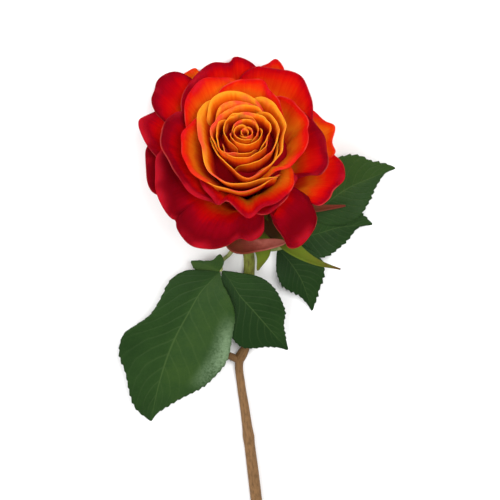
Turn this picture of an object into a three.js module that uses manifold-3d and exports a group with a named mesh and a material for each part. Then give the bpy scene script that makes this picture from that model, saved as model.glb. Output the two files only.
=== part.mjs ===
// A cut rose laid on a table: a bloom of red and amber petals in their layers, its hip with
// five sepals, a woody stem with the stub of a side shoot, and two leaves of toothed leaflets.
// Millimetres, +Z up. The rose lies with its bloom towards -Y and its stem towards +Y.
import * as THREE from "three";
import { mergeVertices } from "three/addons/utils/BufferGeometryUtils.js";
import Module from "manifold-3d";

const wasm = await Module();
wasm.setup();

// Posture. Everything is first laid out in the table frame: x across the rose, y towards the
// bloom, z up from the table. The whole rose is then turned half round.
const BLOOM_LIFT = THREE.MathUtils.degToRad(38); // the bloom's axis above the table
const BLOOM_BASE = new THREE.Vector3(0, 0, 16.2); // where the petals spring from the hip
const GAP = 0.3; // clearance between pieces that touch

// Bloom
const PETAL_THICKNESS = 0.7;
const FOOT = { radius: 7, height: 0.5, climb: 15.5, draw: 5.6 }; // where petals spring, going inward
const BOWL = { run: 21, rise: 38, steepen: 50 }; // how a petal leaves its foot, going inward
const COLLAR = { inner: 3.7, outer: 7.4, shoulder: 1.5, height: 9 };
const CORE = { radius: 3.4, waist: 9.3, swell: 13.5, height: 46 };
const GOLDEN_ANGLE = 137.508;
const HEART_COUNT = 6; // petals of the spiral at the very middle

// Hip and sepals
const HIP = { length: 12, radius: 7.2, neck: 2.9 };
const SEPAL_THICKNESS = 0.8;

// Stem
const STEM_END = new THREE.Vector3(12, -235, 2.7);
const NECK_RADIUS = 2.75;
const STEM_SIDES = 8;

// Leaves
const LEAF_THICKNESS = 0.7;
const RIB_THICKNESS = 1.7; // at a leaflet's base
const STALK_SIDES = 6;

const radians = THREE.MathUtils.degToRad;
const smooth = (x) => THREE.MathUtils.smoothstep(x, 0, 1);
const polar = ([azimuth, radius, height]) => new THREE.Vector3(
  radius * Math.cos(radians(azimuth)), radius * Math.sin(radians(azimuth)), height);

// Materials
const finish = (color, roughness) => new THREE.MeshStandardMaterial({ color, roughness, metalness: 0 });
const RED_PETAL = finish(0xc01018, 0.5);
const AMBER_PETAL = finish(0xf08a1c, 0.5);
const LEAF_GREEN = finish(0x2f4d24, 0.45);
const SEPAL_GREEN = finish(0x6a7a32, 0.6);
const BARK = finish(0x8e5f3a, 0.7);

// Solids

function solidOf(geometry) {
  const bare = geometry.clone();
  bare.deleteAttribute("normal");
  bare.deleteAttribute("uv");
  const merged = mergeVertices(bare, 1e-4);
  const vertProperties = new Float32Array(merged.attributes.position.array);
  const triVerts = new Uint32Array(merged.index.array);
  return new wasm.Manifold(new wasm.Mesh({ numProp: 3, vertProperties, triVerts }));
}

function unionOf(solids) {
  let level = solids;
  while (level.length > 1) {
    const next = [];
    for (let i = 0; i < level.length; i += 2) {
      next.push(i + 1 < level.length ? level[i].add(level[i + 1]) : level[i]);
    }
    level = next;
  }
  return level[0];
}

// The largest body of a solid: loose scraps and sealed hollows are left behind.
function mainBody(solid) {
  const bodies = solid.decompose();
  return bodies.reduce((best, body) => (body.volume() > best.volume() ? body : best));
}

function meshOf(name, solid, material) {
  const { vertProperties, triVerts } = mainBody(solid).getMesh();
  const geometry = new THREE.BufferGeometry();
  geometry.setAttribute("position", new THREE.BufferAttribute(new Float32Array(vertProperties), 3));
  geometry.setIndex(new THREE.BufferAttribute(new Uint32Array(triVerts), 1));
  geometry.computeVertexNormals();
  const mesh = new THREE.Mesh(geometry, material);
  mesh.name = name;
  return mesh;
}

// A closed blade round a grid of points, with the same triangles on both faces.
function blade(grid, thicknessAt) {
  const columns = grid.length;
  const rows = grid[0].length;
  const clampTo = (value, count) => Math.min(Math.max(value, 0), count - 1);
  const at = (i, j) => grid[clampTo(i, columns)][clampTo(j, rows)];
  const positions = [];
  for (const side of [0.5, -0.5]) {
    for (let i = 0; i < columns; i++) {
      for (let j = 0; j < rows; j++) {
        const across = at(i + 1, j).clone().sub(at(i - 1, j));
        const along = at(i, j + 1).clone().sub(at(i, j - 1));
        const normal = across.cross(along).normalize();
        const point = at(i, j).clone().addScaledVector(normal, side * thicknessAt(i, j));
        positions.push(point.x, point.y, point.z);
      }
    }
  }
  const front = (i, j) => i * rows + j;
  const back = (i, j) => columns * rows + front(i, j);
  const index = [];
  const quad = (a, b, c, d) => index.push(a, b, c, a, c, d);
  for (let i = 0; i < columns - 1; i++) {
    for (let j = 0; j < rows - 1; j++) {
      quad(front(i, j), front(i + 1, j), front(i + 1, j + 1), front(i, j + 1));
      index.push(back(i, j), back(i + 1, j + 1), back(i + 1, j));
      index.push(back(i, j), back(i, j + 1), back(i + 1, j + 1));
    }
    quad(front(i, 0), back(i, 0), back(i + 1, 0), front(i + 1, 0));
    quad(front(i, rows - 1), front(i + 1, rows - 1), back(i + 1, rows - 1), back(i, rows - 1));
  }
  for (let j = 0; j < rows - 1; j++) {
    quad(front(0, j), front(0, j + 1), back(0, j + 1), back(0, j));
    quad(front(columns - 1, j), back(columns - 1, j), back(columns - 1, j + 1), front(columns - 1, j + 1));
  }
  const geometry = new THREE.BufferGeometry();
  geometry.setAttribute("position", new THREE.Float32BufferAttribute(positions, 3));
  geometry.setIndex(index);
  return solidOf(geometry);
}

// A round branch along a curve, whose radius follows a function of the way along it.
function branch(curve, steps, sides, radiusAt) {
  const ring = new THREE.Shape();
  ring.absarc(0, 0, 1, 0, 2 * Math.PI);
  const geometry = new THREE.ExtrudeGeometry(ring, {
    steps,
    curveSegments: sides / 2,
    bevelEnabled: false,
    extrudePath: curve,
  });
  const spine = curve.getSpacedPoints(steps);
  const position = geometry.attributes.position;
  const point = new THREE.Vector3();
  for (let k = 0; k < position.count; k++) {
    point.fromBufferAttribute(position, k);
    let nearest = 0;
    for (let i = 1; i <= steps; i++) {
      if (point.distanceToSquared(spine[i]) < point.distanceToSquared(spine[nearest])) nearest = i;
    }
    point.sub(spine[nearest]).multiplyScalar(radiusAt(nearest / steps)).add(spine[nearest]);
    position.setXYZ(k, point.x, point.y, point.z);
  }
  return solidOf(geometry);
}

// Petals, in the bloom's own frame: z along its axis, azimuth 0 across it.
// A petal's rim runs through points, each an azimuth and a radius, at heights for its start, its
// middle and its end. lean is the way its margin points, 0 up the axis and 90 straight out. The
// margin rolls outward by roll degrees at the sides. Petals are listed from the outermost inward.
const OUTER = { margin: 0.84, roll: 55, tipRoll: 30, ruffle: 0.4, grip: 0.35 };
const SPREAD_OUT = { ...OUTER, roll: 20, tipRoll: 10 };
const BENT_BACK = { ...OUTER, grip: 0.5 };
const MIDDLE = { ...OUTER, roll: 60, tipRoll: 40 };
const HEART = { ...OUTER, roll: 50, tipRoll: 30, ruffle: 0.15 };

const petal = (kind, lean, heights, rim, own = {}) => ({ ...kind, lean, heights, rim, ...own });

const redPetals = [
  petal(SPREAD_OUT, 80, [35, 39.5, 35], [
    [111, 46], [112, 52.5], [114, 55], [115, 57], [119, 57], [124, 56.5], [129, 52.5]]),
  petal(SPREAD_OUT, 80, [38, 43, 38], [
    [60, 42.5], [67, 48.5], [70, 53], [75, 56.5], [78, 53.5], [83, 51], [87, 43]]),
  petal(SPREAD_OUT, 75, [33, 38.5, 35], [
    [-10, 32.5], [1, 40.5], [4, 43], [11, 42], [22, 45], [28, 43], [41, 42.5], [53, 41.5]]),
  petal(SPREAD_OUT, 85, [28, 34, 32], [
    [327, 31.5], [326, 41.5], [332, 44.5], [337, 44.5], [347, 48], [355, 46.5], [364, 42], [377, 36]]),
  petal(OUTER, 90, [31, 29.5, 24], [[156, 42], [166, 47], [176, 46.5], [188, 47], [197, 45], [202, 39]]),
  petal(OUTER, 88, [35, 38.5, 32], [
    [133, 50], [146, 50], [153, 52], [158, 53.5], [167, 49.5], [173, 46], [179, 41], [185, 34.5]]),
  petal(OUTER, 85, [36, 43.5, 36], [
    [117, 40.5], [120, 52], [125, 58], [131, 59], [136, 58], [141, 55], [146, 53], [150, 48.5], [153, 39.5]]),
  petal(BENT_BACK, 120, [28, 21.5, 27], [
    [219, 35], [224, 44], [232, 47], [240, 47.5], [250, 45], [258, 40], [265, 36], [274, 39], [283, 36],
    [289, 27]]),
  petal(BENT_BACK, 100, [34, 34, 26], [
    [154, 33], [169, 39.5], [183, 41.5], [196, 44], [211, 46], [223, 46.5], [225, 44.5], [229, 46.5],
    [236, 44]]),
  petal(BENT_BACK, 120, [28, 22.5, 30], [
    [309, 25], [295, 30], [296, 40.5], [296, 46], [302, 47.5], [312, 46.5], [320, 43.5], [327, 36]]),
  petal(OUTER, 60, [42, 49.5, 42], [
    [76, 37], [84, 48], [91, 51], [96, 51], [99, 47.5], [108, 49.5], [119, 46.5], [131, 42.5], [143, 38],
    [156, 29.5]]),
  petal(OUTER, 75, [36, 44, 42], [
    [330, 25], [337, 32], [338, 37.5], [344, 39.5], [358, 38.5], [374, 36.5], [386, 36], [402, 36]]),
  petal(OUTER, 60, [41, 48, 45], [
    [12, 34], [29, 37], [43, 42], [56, 48], [63, 48], [75, 46], [84, 45.5], [91, 42], [97, 35]]),
  petal(MIDDLE, 60, [44, 48, 37], [
    [147, 27.5], [146, 35.5], [156, 38.5], [168, 39.5], [184, 38.5], [202, 36.5], [220, 35.5], [233, 34.5],
    [242, 28.5]]),
  petal(MIDDLE, 60, [40, 43.5, 44], [
    [258, 28], [272, 35], [285, 36.5], [298, 36], [311, 33], [323, 29.5], [332, 25.5]]),
  petal(MIDDLE, 70, [44, 43.5, 45], [
    [207, 26.5], [225, 28.5], [242, 32.5], [250, 35], [254, 32], [265, 36], [273, 39.5], [282, 36],
    [295, 35], [309, 32.5], [325, 28], [339, 22]]),
  petal(MIDDLE, 50, [48, 53.5, 47], [
    [88, 30], [98, 35.5], [109, 37], [119, 39], [130, 37.5], [143, 34.5], [157, 31], [171, 25.5]]),
  petal(MIDDLE, 50, [45, 50.5, 49], [
    [-67, 17.5], [-46, 20.5], [-33, 24], [-20, 27], [-6, 29.5], [9, 29], [19, 31.5], [37, 31.5],
    [56, 31.5], [69, 30]]),
  petal(MIDDLE, 45, [50, 53, 46], [
    [130, 24.5], [154, 25.5], [173, 28], [188, 30], [203, 31], [218, 31], [230, 30.5], [243, 26.5]]),
];

const amberPetals = [
  petal(MIDDLE, 40, [50, 56, 51], [
    [34, 23], [50, 25.5], [66, 28], [75, 32], [94, 31], [104, 30], [113, 29], [126, 25]]),
  petal(HEART, 50, [43, 51, 45], [
    [201, 27.5], [223, 28], [242, 30], [257, 30.5], [271, 31.5], [284, 29], [299, 25], [317, 22.5]]),
  petal(HEART, 35, [50, 56.5, 49], [
    [109, 27], [130, 27.5], [151, 25], [177, 22], [206, 22], [225, 26], [239, 29], [253, 30], [269, 28],
    [288, 25], [308, 24.5]]),
  petal(HEART, 25, [53, 57, 53], [[55, 18.5], [81, 21], [98, 23.5], [115, 25], [131, 24.5], [154, 20.5]]),
  petal(HEART, 20, [50, 56.5, 53], [
    [-83, 17.5], [-55, 20], [-34, 20], [-11, 18], [7, 19], [26, 19.5], [57, 22], [75, 23], [97, 20]]),
  petal(HEART, 20, [52, 55.5, 53], [
    [172, 16.5], [210, 16.5], [245, 19.5], [265, 24.5], [274, 26.5], [289, 23.5], [315, 20], [355, 15.5]]),
  petal(HEART, 10, [55, 58, 53], [
    [35, 15.5], [71, 15.5], [99, 14.5], [136, 14], [173, 15.5], [181, 16], [212, 15.5], [244, 15.5]]),
  petal(HEART, 5, [53, 58, 55], [
    [246, 16.5], [277, 18], [303, 18], [331, 16.5], [367, 15.5], [404, 15], [445, 15]]),
  petal(HEART, 0, [55, 58.5, 56], [[-63, 11], [-26, 11], [5, 12], [37, 11], [87, 9.5], [129, 11], [169, 11]]),
  petal(HEART, -3, [56, 58, 55], [
    [115, 12], [159, 13], [197, 13.5], [228, 16.5], [250, 14.5], [281, 12.5], [323, 8.5]]),
  petal(HEART, -5, [55, 57.5, 55], [
    [200, 11.5], [236, 15.5], [262, 16.5], [286, 15], [318, 13], [363, 10.5]]),
];
for (let i = 0; i < HEART_COUNT; i++) {
  const inward = i / (HEART_COUNT - 1);
  const middle = 6 + GOLDEN_ANGLE * (i + 1);
  const half = 105 + 25 * inward;
  const radius = 9.6 - 7.8 * inward;
  const height = 57.5 - 1.5 * inward;
  const rim = [-1, -0.7, -0.35, 0, 0.35, 0.7, 1].map((o) => (
    [middle + half * o, radius * (1.06 - 0.16 * Math.abs(o) + 0.06 * o)]));
  amberPetals.push(petal(HEART, -8 - 6 * inward, [height - 1, height, height - 1], rim, {
    roll: 30, tipRoll: 15, ruffle: 0.05,
  }));
}

[...redPetals, ...amberPetals].forEach((p, k, all) => {
  p.order = k / (all.length - 1);
});

const CLAW = 0.42; // a petal's foot, as a share of its full spread
const PROFILE_STEPS = 32; // steps that a petal's profile is worked out in

// Points of a petal's rim, evenly spaced: azimuth, radius and height.
function petalRim(p, count) {
  const [first, middle, last] = p.heights;
  const knots = p.rim.map(([azimuth, radius], k) => {
    const v = (2 * k) / (p.rim.length - 1) - 1;
    const height = middle + ((last - first) / 2) * v + ((first + last) / 2 - middle) * v * v;
    return polar([azimuth, radius, height]);
  });
  let azimuth = radians(p.rim[0][0]);
  return new THREE.CatmullRomCurve3(knots).getSpacedPoints(count).map((point) => {
    const turn = Math.atan2(point.y, point.x) - azimuth;
    azimuth += turn - 2 * Math.PI * Math.round(turn / (2 * Math.PI));
    return { azimuth, radius: Math.hypot(point.x, point.y), height: point.z };
  });
}

// One column of a petal, from its foot to its margin, as [radius, height] pairs.
function petalColumn(p, u, tip) {
  const lean = radians(p.lean);
  const rise = radians(BOWL.rise + BOWL.steepen * p.order);
  const foot = new THREE.Vector2(FOOT.radius - FOOT.draw * p.order, FOOT.height + FOOT.climb * p.order);
  const grip = p.grip * tip.distanceTo(foot);
  const curve = new THREE.CubicBezierCurve(
    foot,
    new THREE.Vector2(BOWL.run * Math.cos(rise), BOWL.run * Math.sin(rise)).add(foot),
    new THREE.Vector2(-grip * Math.sin(lean), -grip * Math.cos(lean)).add(tip),
    tip,
  );
  const points = curve.getPoints(PROFILE_STEPS);
  const roll = radians(p.tipRoll + (p.roll - p.tipRoll) * Math.abs(u) ** 1.5);
  const rolled = [points[0]];
  for (let k = 1; k <= PROFILE_STEPS; k++) {
    const step = points[k].clone().sub(points[k - 1]);
    const q = (k - 0.5) / PROFILE_STEPS;
    const turn = -roll * smooth((q - p.margin) / (1 - p.margin));
    rolled.push(step.rotateAround(new THREE.Vector2(), turn).add(rolled[k - 1]));
  }
  const missing = tip.clone().sub(rolled[PROFILE_STEPS]);
  return rolled.map((point, k) => point.addScaledVector(missing, (k / PROFILE_STEPS) ** 2));
}

function petalGrid(p, columns, rows) {
  const rim = petalRim(p, columns);
  const middle = (rim[0].azimuth + rim[columns].azimuth) / 2;
  return rim.map(({ azimuth, radius, height }, i) => {
    const column = petalColumn(p, (2 * i) / columns - 1, new THREE.Vector2(radius, height));
    return rows.map((q) => {
      const beta = (azimuth - middle) * (CLAW + (1 - CLAW) * smooth(q / 0.5));
      const point = column[Math.round(q * PROFILE_STEPS)];
      const nearRim = p.ruffle * smooth((q - 0.45) / 0.55);
      const r = point.x + nearRim * (Math.sin(beta * 9.1 + 3 * middle) + 0.6 * Math.sin(beta * 17.3 + 7 * middle));
      const z = point.y + nearRim * 0.8 * Math.sin(beta * 13.7 + 5 * middle);
      return new THREE.Vector3(r * Math.cos(middle + beta), r * Math.sin(middle + beta), z);
    });
  });
}

const OUTER_ROWS = [0, 0.4375, 0.75, 0.90625, 1];
const HEART_ROWS = [0.4375, 0.6875, 0.875, 1];
const redPetalSolid = (p) => blade(petalGrid(p, 8, OUTER_ROWS), () => PETAL_THICKNESS);
const amberPetalSolid = (p, thickness) => blade(petalGrid(p, 8, HEART_ROWS), () => thickness);

function lathe(profile, sides) {
  const points = profile.map(([r, h]) => new THREE.Vector2(r, h));
  const geometry = new THREE.LatheGeometry(points, sides);
  geometry.rotateX(Math.PI / 2);
  return solidOf(geometry);
}

function coreSolid(margin) {
  const { radius, waist, swell, height } = CORE;
  return lathe([
    [0, 0], [radius + margin, 0], [radius + margin, waist], [swell * 0.75 + margin, height * 0.4],
    [swell + margin, height * 0.62], [swell + margin, height * 0.8], [swell * 0.55 + margin, height * 0.94],
    [0, height + margin],
  ], 12);
}

function collarSolid() {
  const { inner, outer, shoulder, height } = COLLAR;
  return lathe([[inner, 0], [outer, 0], [outer, shoulder], [inner + 1, height], [inner, height], [inner, 0]], 10);
}

function makeInnerPetals() {
  const petals = amberPetals.map((p) => amberPetalSolid(p, PETAL_THICKNESS));
  return meshOf("inner_petals", unionOf([coreSolid(0), ...petals]), AMBER_PETAL);
}

// The red petals give way to the amber ones, with the gap all round them.
function makeOuterPetals() {
  const red = unionOf([collarSolid(), ...redPetals.map(redPetalSolid)]);
  const room = amberPetals.slice(0, 9).map((p) => amberPetalSolid(p, PETAL_THICKNESS + 2 * GAP));
  return meshOf("outer_petals", red.subtract(unionOf([coreSolid(GAP), ...room])), RED_PETAL);
}

// Hip and sepals, in the bloom's frame. A sepal's midrib runs through its points, each an
// azimuth, a radius and a height.
const sepals = [
  { width: 5, cup: 0.25, path: [[316, 5, -2], [318, 16, -1.5], [317, 31, -7], [324, 41, -14], [332, 52, -20]] },
  { width: 5.5, cup: 0.3, path: [[20, 5, -2], [8, 17, -3], [0, 32, -4], [2, 41, -5], [3, 48.5, -5]] },
  { width: 6, cup: 0.35, path: [[244, 5, -2], [250, 18, 0], [262, 26.5, 1], [283, 27, 1], [308, 31.5, 2.5]] },
  { width: 6, cup: 0.25, path: [[284, 5, -2], [290, 14, -3.5], [293, 21.5, -12], [284, 24.5, -22]] },
  { width: 4.4, cup: 0.3, path: [[130, 5, -2], [130, 14, -0.5], [132, 22, 4], [136, 31, 13]] },
];

function sepalSolid({ width, cup, path }) {
  const midrib = new THREE.CatmullRomCurve3(path.map(polar));
  const axis = new THREE.Vector3(0, 0, 1);
  const columns = [-1, 0, 1];
  const steps = 8;
  const grid = columns.map(() => []);
  for (let j = 0; j <= steps; j++) {
    const t = j / steps;
    const along = midrib.getTangent(t);
    const across = axis.clone().cross(along).normalize();
    const up = along.clone().cross(across);
    const half = width * (0.62 + 0.6 * t) * (1 - t ** 1.6) + 0.4;
    columns.forEach((v, i) => {
      const point = midrib.getPoint(t).addScaledVector(across, v * half);
      grid[i].push(point.addScaledVector(up, cup * half * v * v));
    });
  }
  return blade(grid.reverse(), () => SEPAL_THICKNESS);
}

function makeCalyx() {
  const { length, radius, neck } = HIP;
  const hip = lathe([
    [0, -length], [neck, -length], [neck * 1.15, -length * 0.86], [radius * 0.78, -length * 0.6],
    [radius * 0.96, -length * 0.34], [radius, -length * 0.14], [radius * 0.9, -GAP], [0, -GAP],
  ], 12);
  return meshOf("calyx", unionOf([hip, ...sepals.map(sepalSolid)]), SEPAL_GREEN);
}

// Stem, in the table frame. It leaves the hip along the bloom's axis and bends down to the table.
function makeStem() {
  const back = new THREE.Vector3(0, -Math.cos(BLOOM_LIFT), -Math.sin(BLOOM_LIFT));
  const top = BLOOM_BASE.clone().addScaledVector(back, HIP.length + GAP);
  const points = [
    top,
    top.clone().addScaledVector(back, 3.2),
    new THREE.Vector3(0.5, -21, 4),
    new THREE.Vector3(1.9, -32.5, 3.5),
    new THREE.Vector3(1.4, -50, 3.6),
    new THREE.Vector3(0.2, -70, 3.4),
    new THREE.Vector3(-2.2, -77.5, 3.2),
    new THREE.Vector3(-3.3, -85, 3),
    new THREE.Vector3(-2, -99, 3),
    new THREE.Vector3(-0.4, -110, 3),
    new THREE.Vector3(4.1, -147, 3.1),
    new THREE.Vector3(9, -195, 3.2),
    STEM_END.clone(),
  ];
  const spine = new THREE.CatmullRomCurve3(points);
  const length = spine.getLength();
  // Swellings where leaves and shoots grew, by their distance from the hip.
  const nodes = [[14, 0.45], [74, 0.7], [118, 0.35], [170, 0.5], [212, 0.4]];
  const radiusAt = (way) => {
    const distance = way * length;
    const slender = 1 - 0.26 * smooth((distance - 30) / 40);
    const woody = 0.32 * smooth((distance - 76) / 70);
    const swelling = nodes.reduce((sum, [place, rise]) => sum + rise * Math.exp(-(((distance - place) / 3.2) ** 2)), 0);
    return NECK_RADIUS * (slender + woody) + swelling;
  };
  const shoot = branch(spine, 38, STEM_SIDES, radiusAt);
  const stubSpine = new THREE.CatmullRomCurve3([
    new THREE.Vector3(-3.2, -83, 3.1), new THREE.Vector3(-5.6, -78.5, 3.6), new THREE.Vector3(-8.6, -75.2, 4.2),
  ]);
  const stub = branch(stubSpine, 4, 8, (way) => 2 - 0.2 * way);
  return meshOf("stem", shoot.add(stub), BARK);
}

// Leaves, in the table frame. A leaflet's midrib and its two margins run through points, seen
// from above. heights are the midrib's at its base, its middle and its tip; fold lifts the halves.
function leafletGrid({ rib, left, right, heights, teeth, tooth, fold, wave = 0, waves = 2 }) {
  const flat = (points) => new THREE.CatmullRomCurve3(points.map(([x, y]) => new THREE.Vector3(x, y, 0)));
  const midrib = flat(rib);
  const margins = [left, right].map((side) => flat([rib[0], ...side, rib[rib.length - 1]]));
  const [base, middle, tip] = heights;
  const rows = [];
  for (let k = 0; k < teeth; k++) rows.push([k / teeth, 0], [(k + 0.72) / teeth, 1]);
  rows.push([1, 0]);
  const columns = [-1, -0.55, 0, 0.55, 1];
  const vertical = new THREE.Vector3(0, 0, 1);
  return columns.map((v) => rows.map(([t, peak]) => {
    const spine = midrib.getPointAt(t);
    const along = midrib.getTangentAt(t);
    const out = along.clone().cross(vertical).multiplyScalar(Math.sign(v));
    const half = margins[v < 0 ? 0 : 1].getPointAt(t).sub(spine);
    const reach = Math.abs(v);
    const width = half.length();
    const notch = reach > 0.9 ? peak * tooth * Math.min(1, width / 4) : 0;
    const height = base + (4 * middle - 3 * base - tip) * t + (2 * base + 2 * tip - 4 * middle) * t * t;
    const ripple = wave * reach * reach * Math.min(1, width / 12)
      * Math.sin(2 * Math.PI * waves * t + (v < 0 ? 0.8 : 2.6));
    return spine.addScaledVector(half, reach)
      .addScaledVector(out, 0.45 * reach + notch)
      .addScaledVector(along, notch * 0.9)
      .setZ(height + Math.sin(radians(fold)) * width * reach + ripple);
  }));
}

function leafletSolid(leaf) {
  const grid = leafletGrid(leaf).reverse();
  const middle = (grid.length - 1) / 2;
  const rows = grid[0].length;
  const thicknessAt = (i, j) => (i === middle ? RIB_THICKNESS - 0.8 * (j / rows) : LEAF_THICKNESS);
  return blade(grid, thicknessAt);
}

const leftLeaf = {
  name: "leaf_left",
  stalk: [[-3.6, -22.5, 3.6], [-7.5, -28.5, 5], [-11.5, -32, 7.6], [-12, -36.5, 9.8]],
  leaflets: [
    { rib: [[-12.5, -36.5], [-17.5, -41.5], [-22, -46.5], [-28, -57], [-34, -68.5], [-38.5, -80],
        [-43, -95.5], [-47.5, -117]],
      left: [[-11.5, -41], [-8.5, -46.5], [-6, -54], [-5.5, -59], [-6.5, -65.5], [-8, -75], [-10.5, -82],
        [-19.5, -93], [-27, -99], [-38, -106.5], [-44.5, -112]],
      right: [[-20, -35.5], [-28.5, -35.5], [-35.5, -39.5], [-40.5, -48.5], [-46, -57], [-52.5, -62],
        [-58.5, -66.5], [-61, -72], [-61.5, -79], [-59, -88], [-57, -99.5], [-54, -109]],
      heights: [9.8, 11.5, 3], teeth: 10, tooth: 1, fold: 6, wave: 1.2 },
    { rib: [[-11, -36], [-7.5, -40.5], [-2.5, -48.5], [3.5, -55.5], [9.5, -63], [21, -78]],
      left: [[-4.5, -36.5], [4.5, -38], [11, -41.5], [16.5, -49], [19, -57], [18.5, -64.5], [19.5, -71.5]],
      right: [[-11.5, -42], [-10, -53], [-7, -67.5], [-2, -74], [4.5, -75.5], [11, -75], [16.5, -76]],
      heights: [9.8, 10.4, 6], teeth: 8, tooth: 0.8, fold: 7, wave: 0.8 },
    { rib: [[-12.5, -36], [-16.5, -34], [-21.5, -32.5], [-26.5, -32]],
      left: [[-15.5, -36.5], [-20.5, -36.5], [-25, -34.5]],
      right: [[-12.5, -32], [-17, -31.5], [-22, -31.5]],
      heights: [9.8, 9.3, 7], teeth: 4, tooth: 0.5, fold: 10 },
  ],
};

const rightLeaf = {
  name: "leaf_right",
  stalk: [[4.45, -26.5, 3.6], [16, -26, 4.8], [26, -20.5, 5], [32, -11, 5.2]],
  leaflets: [
    { rib: [[32, -11], [38.5, -3.5], [48.5, 4.5], [60.5, 10], [72.5, 14.5]],
      left: [[31, 4], [36, 16], [44.5, 20.5], [50.5, 21.5], [56.5, 20.5], [60.5, 18], [64.5, 17], [69, 16]],
      right: [[39, -13], [48.5, -12], [55.5, -7], [59.5, -1], [62.5, 5.5], [67.5, 12.5]],
      heights: [5.2, 7, 4], teeth: 8, tooth: 0.9, fold: 8, wave: 0.8 },
    { rib: [[26, -20.5], [35.5, -18], [46, -15], [62, -14]],
      left: [[29.5, -12.5], [39, -7], [48.5, -7.5], [56, -9]],
      right: [[27, -26.5], [36.5, -29.5], [44.5, -25.5], [50.5, -20], [55, -15]],
      heights: [5, 5.5, 3], teeth: 7, tooth: 0.8, fold: 5, wave: 0.6 },
    { rib: [[16, -26], [22, -33], [27.5, -42], [33, -58.5]],
      left: [[26.5, -24.5], [35, -29], [38, -36], [37, -42.5], [35, -49.5]],
      right: [[15.5, -30], [16, -38], [19.5, -45], [26.5, -49.5], [30.5, -54]],
      heights: [4.8, 5.2, 3], teeth: 7, tooth: 0.8, fold: 8, wave: 0.6 },
  ],
};

function makeLeaf({ name, stalk, leaflets }) {
  const curve = new THREE.CatmullRomCurve3(stalk.map((point) => new THREE.Vector3(...point)));
  const stalkSolid = branch(curve, 8, STALK_SIDES, (way) => 1.15 - 0.3 * way);
  return meshOf(name, unionOf([stalkSolid, ...leaflets.map(leafletSolid)]), LEAF_GREEN);
}

// Assembly

function makeBloom() {
  const bloom = new THREE.Group();
  const across = new THREE.Vector3(1, 0, 0);
  const axis = new THREE.Vector3(0, Math.cos(BLOOM_LIFT), Math.sin(BLOOM_LIFT));
  const up = axis.clone().cross(across);
  bloom.quaternion.setFromRotationMatrix(new THREE.Matrix4().makeBasis(across, up, axis));
  bloom.position.copy(BLOOM_BASE);
  bloom.add(makeOuterPetals(), makeInnerPetals(), makeCalyx());
  return bloom;
}

const rose = new THREE.Group();
const laid = new THREE.Group();
laid.add(makeBloom(), makeStem(), makeLeaf(leftLeaf), makeLeaf(rightLeaf));
laid.rotation.z = Math.PI;
rose.add(laid);

// The origin is under the middle of the rose, on the table.
rose.updateMatrixWorld(true);
const box = new THREE.Box3().setFromObject(rose, true);
const middle = box.getCenter(new THREE.Vector3());
laid.position.set(-middle.x, -middle.y, -box.min.z);
rose.updateMatrixWorld(true);

export default rose;
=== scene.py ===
import logging
import math
from dataclasses import dataclass, field, replace
from enum import Enum
from typing import Callable

import bpy
import numpy as np
from mathutils import Matrix, Vector


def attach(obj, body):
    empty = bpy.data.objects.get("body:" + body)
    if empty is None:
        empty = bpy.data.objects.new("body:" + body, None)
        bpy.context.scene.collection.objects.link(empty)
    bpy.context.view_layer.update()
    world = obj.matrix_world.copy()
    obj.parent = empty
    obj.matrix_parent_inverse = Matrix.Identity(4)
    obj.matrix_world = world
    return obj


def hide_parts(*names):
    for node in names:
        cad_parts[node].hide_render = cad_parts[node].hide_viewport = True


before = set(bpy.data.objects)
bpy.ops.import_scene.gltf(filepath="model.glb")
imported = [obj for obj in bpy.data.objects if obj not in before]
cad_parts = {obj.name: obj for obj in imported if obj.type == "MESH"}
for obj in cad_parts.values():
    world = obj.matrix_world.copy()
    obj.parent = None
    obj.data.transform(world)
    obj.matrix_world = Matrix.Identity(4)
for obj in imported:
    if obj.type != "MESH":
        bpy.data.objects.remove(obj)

log = logging.getLogger("rose")

# Lengths are in millimetres up to the meshes, which are in metres.
MM = 0.001
# Points of a seam that lie nearer than this, in metres, are merged.
SEAM = 1e-6

# How far the bloom's axis is lifted, and where its foot stands: in the row's frame, and in the frame
# that the rose is laid out in.
BLOOM_LIFT = math.radians(38)
BLOOM_FOOT = Vector((5.137, -83.240, 16.417))
FOOT_ON_TABLE = Vector((0.0, 0.0, 16.2))

Colour = tuple[float, float, float]
Stops = tuple[tuple[float, Colour], ...]
Knot = tuple[float, ...] | Vector
Shape = Callable[[np.ndarray, np.ndarray], np.ndarray]


class Slot(Enum):
    """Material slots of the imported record."""

    RED_PETAL = "red_petal"
    AMBER_PETAL = "amber_petal"
    SEPAL = "sepal"
    BARK = "bark"
    LEAF = "leaf"


class Dye(Enum):
    """How a petal's colours lie on it."""

    RED = "red towards its margin"
    GOLD = "gold at its margin"


class Ends(Enum):
    """How a tube's ends are finished."""

    FLAT = "flat"
    ROUND = "round"


def step(x: np.ndarray, low: float, high: float) -> np.ndarray:
    """A smooth rise from 0 at low to 1 at high."""
    t = np.clip((x - low) / (high - low), 0.0, 1.0)
    return t * t * (3.0 - 2.0 * t)


def table_to_row() -> Matrix:
    """From the frame that the rose is laid out in to the row's frame, half a turn round."""
    turn = Matrix.Rotation(math.pi, 4, "Z")
    return Matrix.Translation(BLOOM_FOOT * MM) @ turn @ Matrix.Translation(-FOOT_ON_TABLE * MM)


def bloom_to_row() -> Matrix:
    """From the bloom's own frame, z along its axis, to the row's frame.

    Returns:
        The change of frame.
    """
    across = Vector((1, 0, 0))
    axis = Vector((0, math.cos(BLOOM_LIFT), math.sin(BLOOM_LIFT)))
    basis = Matrix((across, axis.cross(across), axis)).transposed().to_4x4()
    return table_to_row() @ Matrix.Translation(FOOT_ON_TABLE * MM) @ basis


# Modelling


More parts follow.
